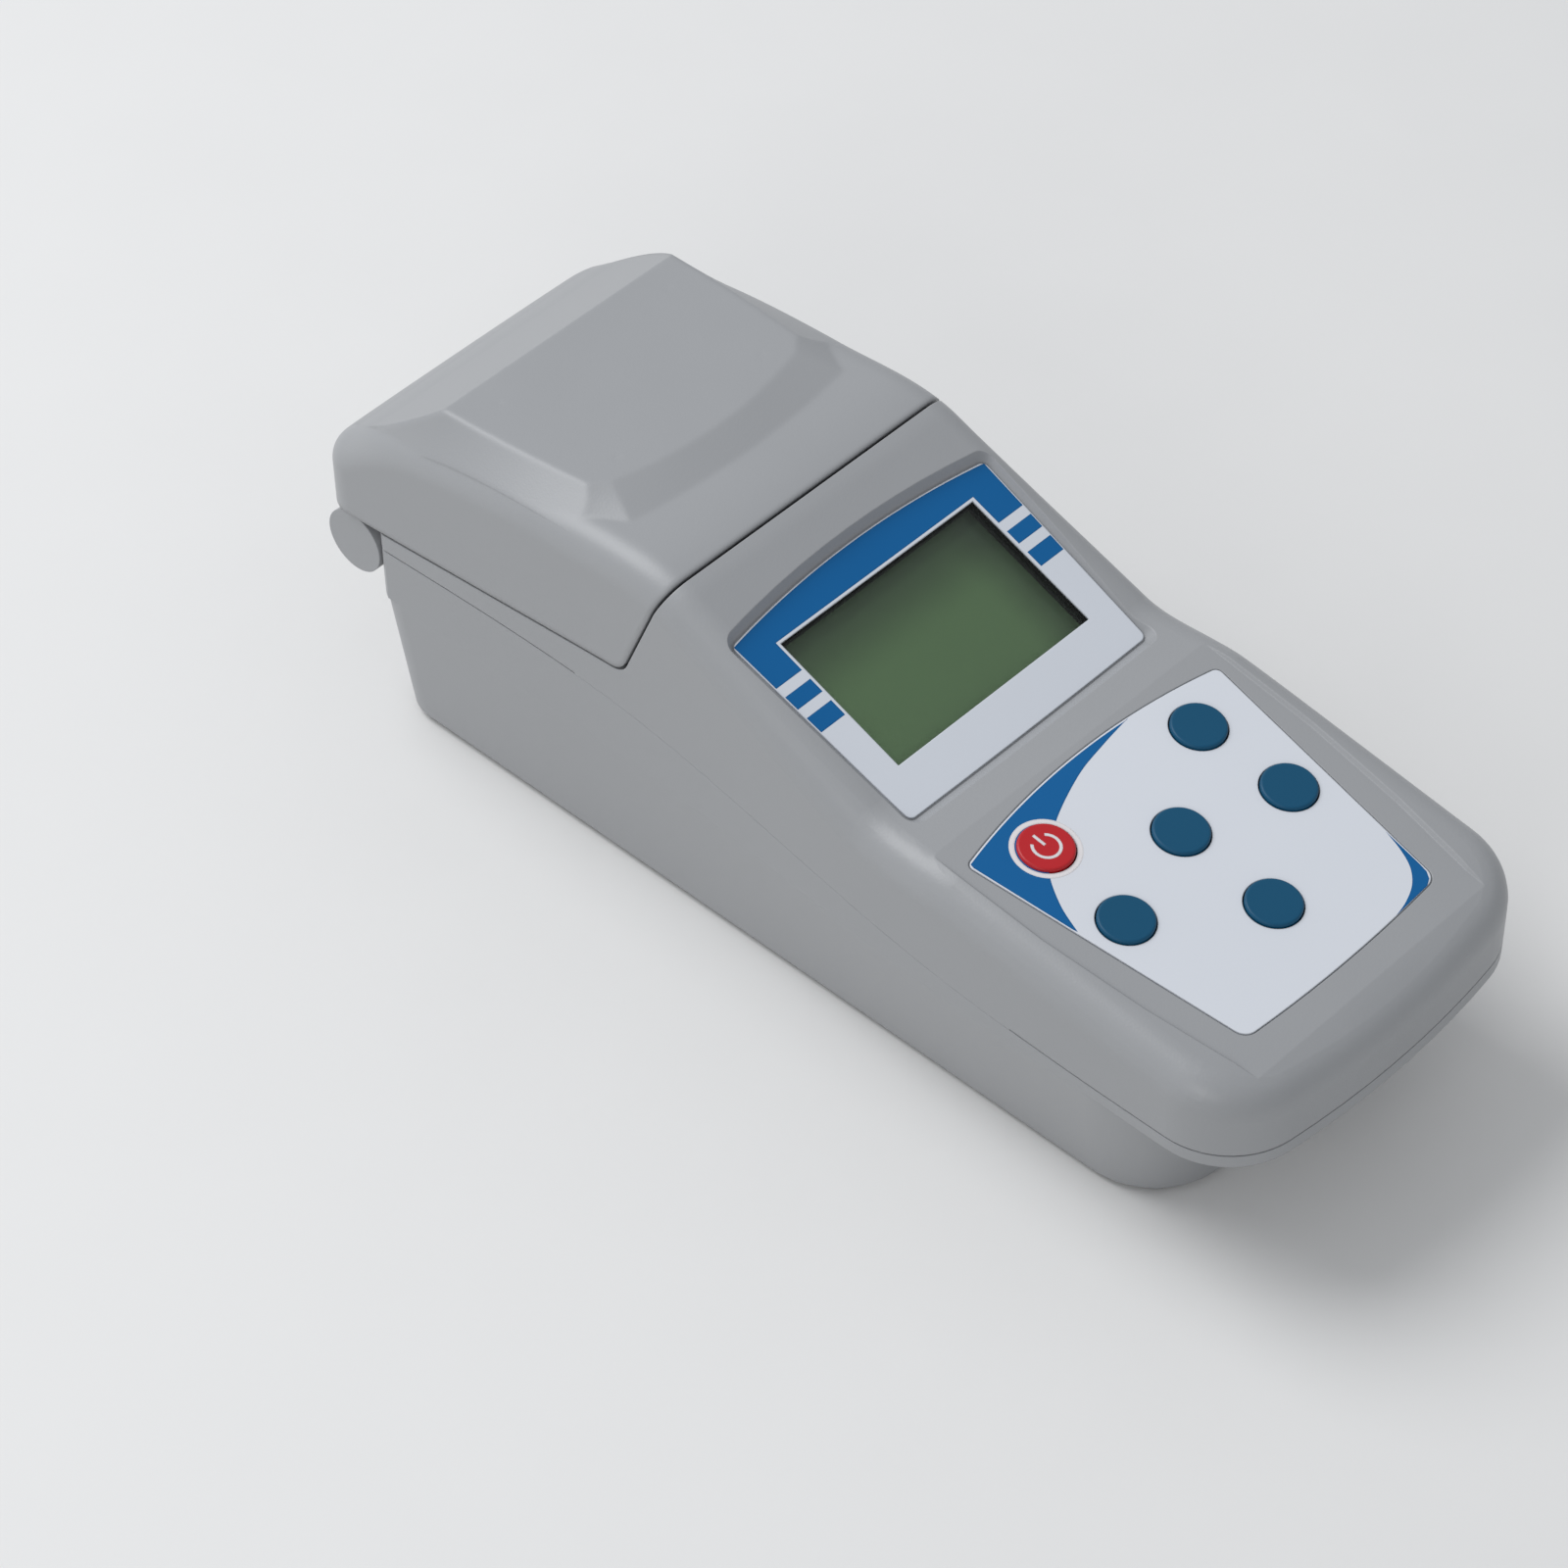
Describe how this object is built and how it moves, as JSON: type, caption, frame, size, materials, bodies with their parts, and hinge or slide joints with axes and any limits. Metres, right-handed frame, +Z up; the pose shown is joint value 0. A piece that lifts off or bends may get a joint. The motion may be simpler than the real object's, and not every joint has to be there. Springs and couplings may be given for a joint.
{
  "type": "turbidity meter",
  "caption": "Wedge-shaped bench and field turbidity meter with a hinged lid over its vial well, a sloped display and a sunk membrane-style keypad with round keys.",
  "frame": {"origin": "middle of the overall box, on the table plane under the feet", "axes": "+X to the right-hand side, +Y towards the hinged end, +Z up; the keypad nose points to -Y"},
  "size_m": [0.0924, 0.258, 0.09],
  "materials": {
    "housing": "satin",
    "black": "matte",
    "screws": "satin",
    "pin": "ground",
    "display_label": "printed satin film",
    "keypad_label": "printed satin film",
    "pane": "clear",
    "foam": "matte",
    "lcd": "satin",
    "white": "matte",
    "frame": "satin",
    "board": "solder mask",
    "lens": "polished",
    "lamp": "clear",
    "seal": "matte",
    "cells": "printed sleeve",
    "contacts": "nickel plated",
    "inlet": "satin",
    "feet": "matte",
    "power_key": "satin",
    "keys": "satin"
  },
  "bodies": {
    "housing": {"upper_housing": "housing", "lower_housing": "housing", "hinge_pin": "pin", "display_label": "display_label", "keypad_label": "keypad_label", "window_pane": "pane", "display_gasket": "foam", "lcd_panel": "lcd", "lcd_backlight": "white", "lcd_frame": "frame", "display_board": "board", "main_board": "board", "key_switches": "black", "board_chips": "black", "board_screws": "screws", "sample_well": "black", "optical_block": "black", "beam_lens": "lens", "lamp_holder": "black", "lamp": "lamp", "detector_boards": "board", "photodiodes": "black", "optics_screws": "screws", "well_gasket": "seal", "battery_cells": "cells", "contact_plates": "contacts", "contact_springs": "contacts", "power_board": "board", "power_inlet": "inlet", "housing_screws": "screws", "rubber_feet": "feet"},
    "lid": {"lid_shell": "housing", "lid_liner": "black", "liner_screws": "screws"},
    "battery_door": {"battery_door": "housing"},
    "power_key": {"power_key": "power_key"},
    "key_rear_right": {"key_rear_right": "keys"},
    "key_centre": {"key_centre": "keys"},
    "key_left": {"key_left": "keys"},
    "key_right": {"key_right": "keys"},
    "key_front": {"key_front": "keys"}
  },
  "joints": [
    {"name": "lid_hinge", "type": "hinge", "parent": "housing", "child": "lid", "pos_m": [0, 0.1175, 0.0425], "axis": [-1, 0, 0], "range_deg": [0, 100]},
    {"name": "door_slide", "type": "slide", "parent": "housing", "child": "battery_door", "axis": [0, -1, 0], "range_m": [0, 0.008]},
    {"name": "power_key_press", "type": "slide", "parent": "housing", "child": "power_key", "axis": [0, 0.14, -0.9901], "range_m": [0, 0.0004], "stiffness_N_per_m": 2500, "springref_m": -0.0003},
    {"name": "key_rear_right_press", "type": "slide", "parent": "housing", "child": "key_rear_right", "axis": [0, 0.14, -0.9901], "range_m": [0, 0.0004], "stiffness_N_per_m": 2500, "springref_m": -0.0003},
    {"name": "key_centre_press", "type": "slide", "parent": "housing", "child": "key_centre", "axis": [0, 0.14, -0.9901], "range_m": [0, 0.0004], "stiffness_N_per_m": 2500, "springref_m": -0.0003},
    {"name": "key_left_press", "type": "slide", "parent": "housing", "child": "key_left", "axis": [0, 0.14, -0.9901], "range_m": [0, 0.0004], "stiffness_N_per_m": 2500, "springref_m": -0.0003},
    {"name": "key_right_press", "type": "slide", "parent": "housing", "child": "key_right", "axis": [0, 0.14, -0.9901], "range_m": [0, 0.0004], "stiffness_N_per_m": 2500, "springref_m": -0.0003},
    {"name": "key_front_press", "type": "slide", "parent": "housing", "child": "key_front", "axis": [0, 0.14, -0.9901], "range_m": [0, 0.0004], "stiffness_N_per_m": 2500, "springref_m": -0.0003}
  ]
}
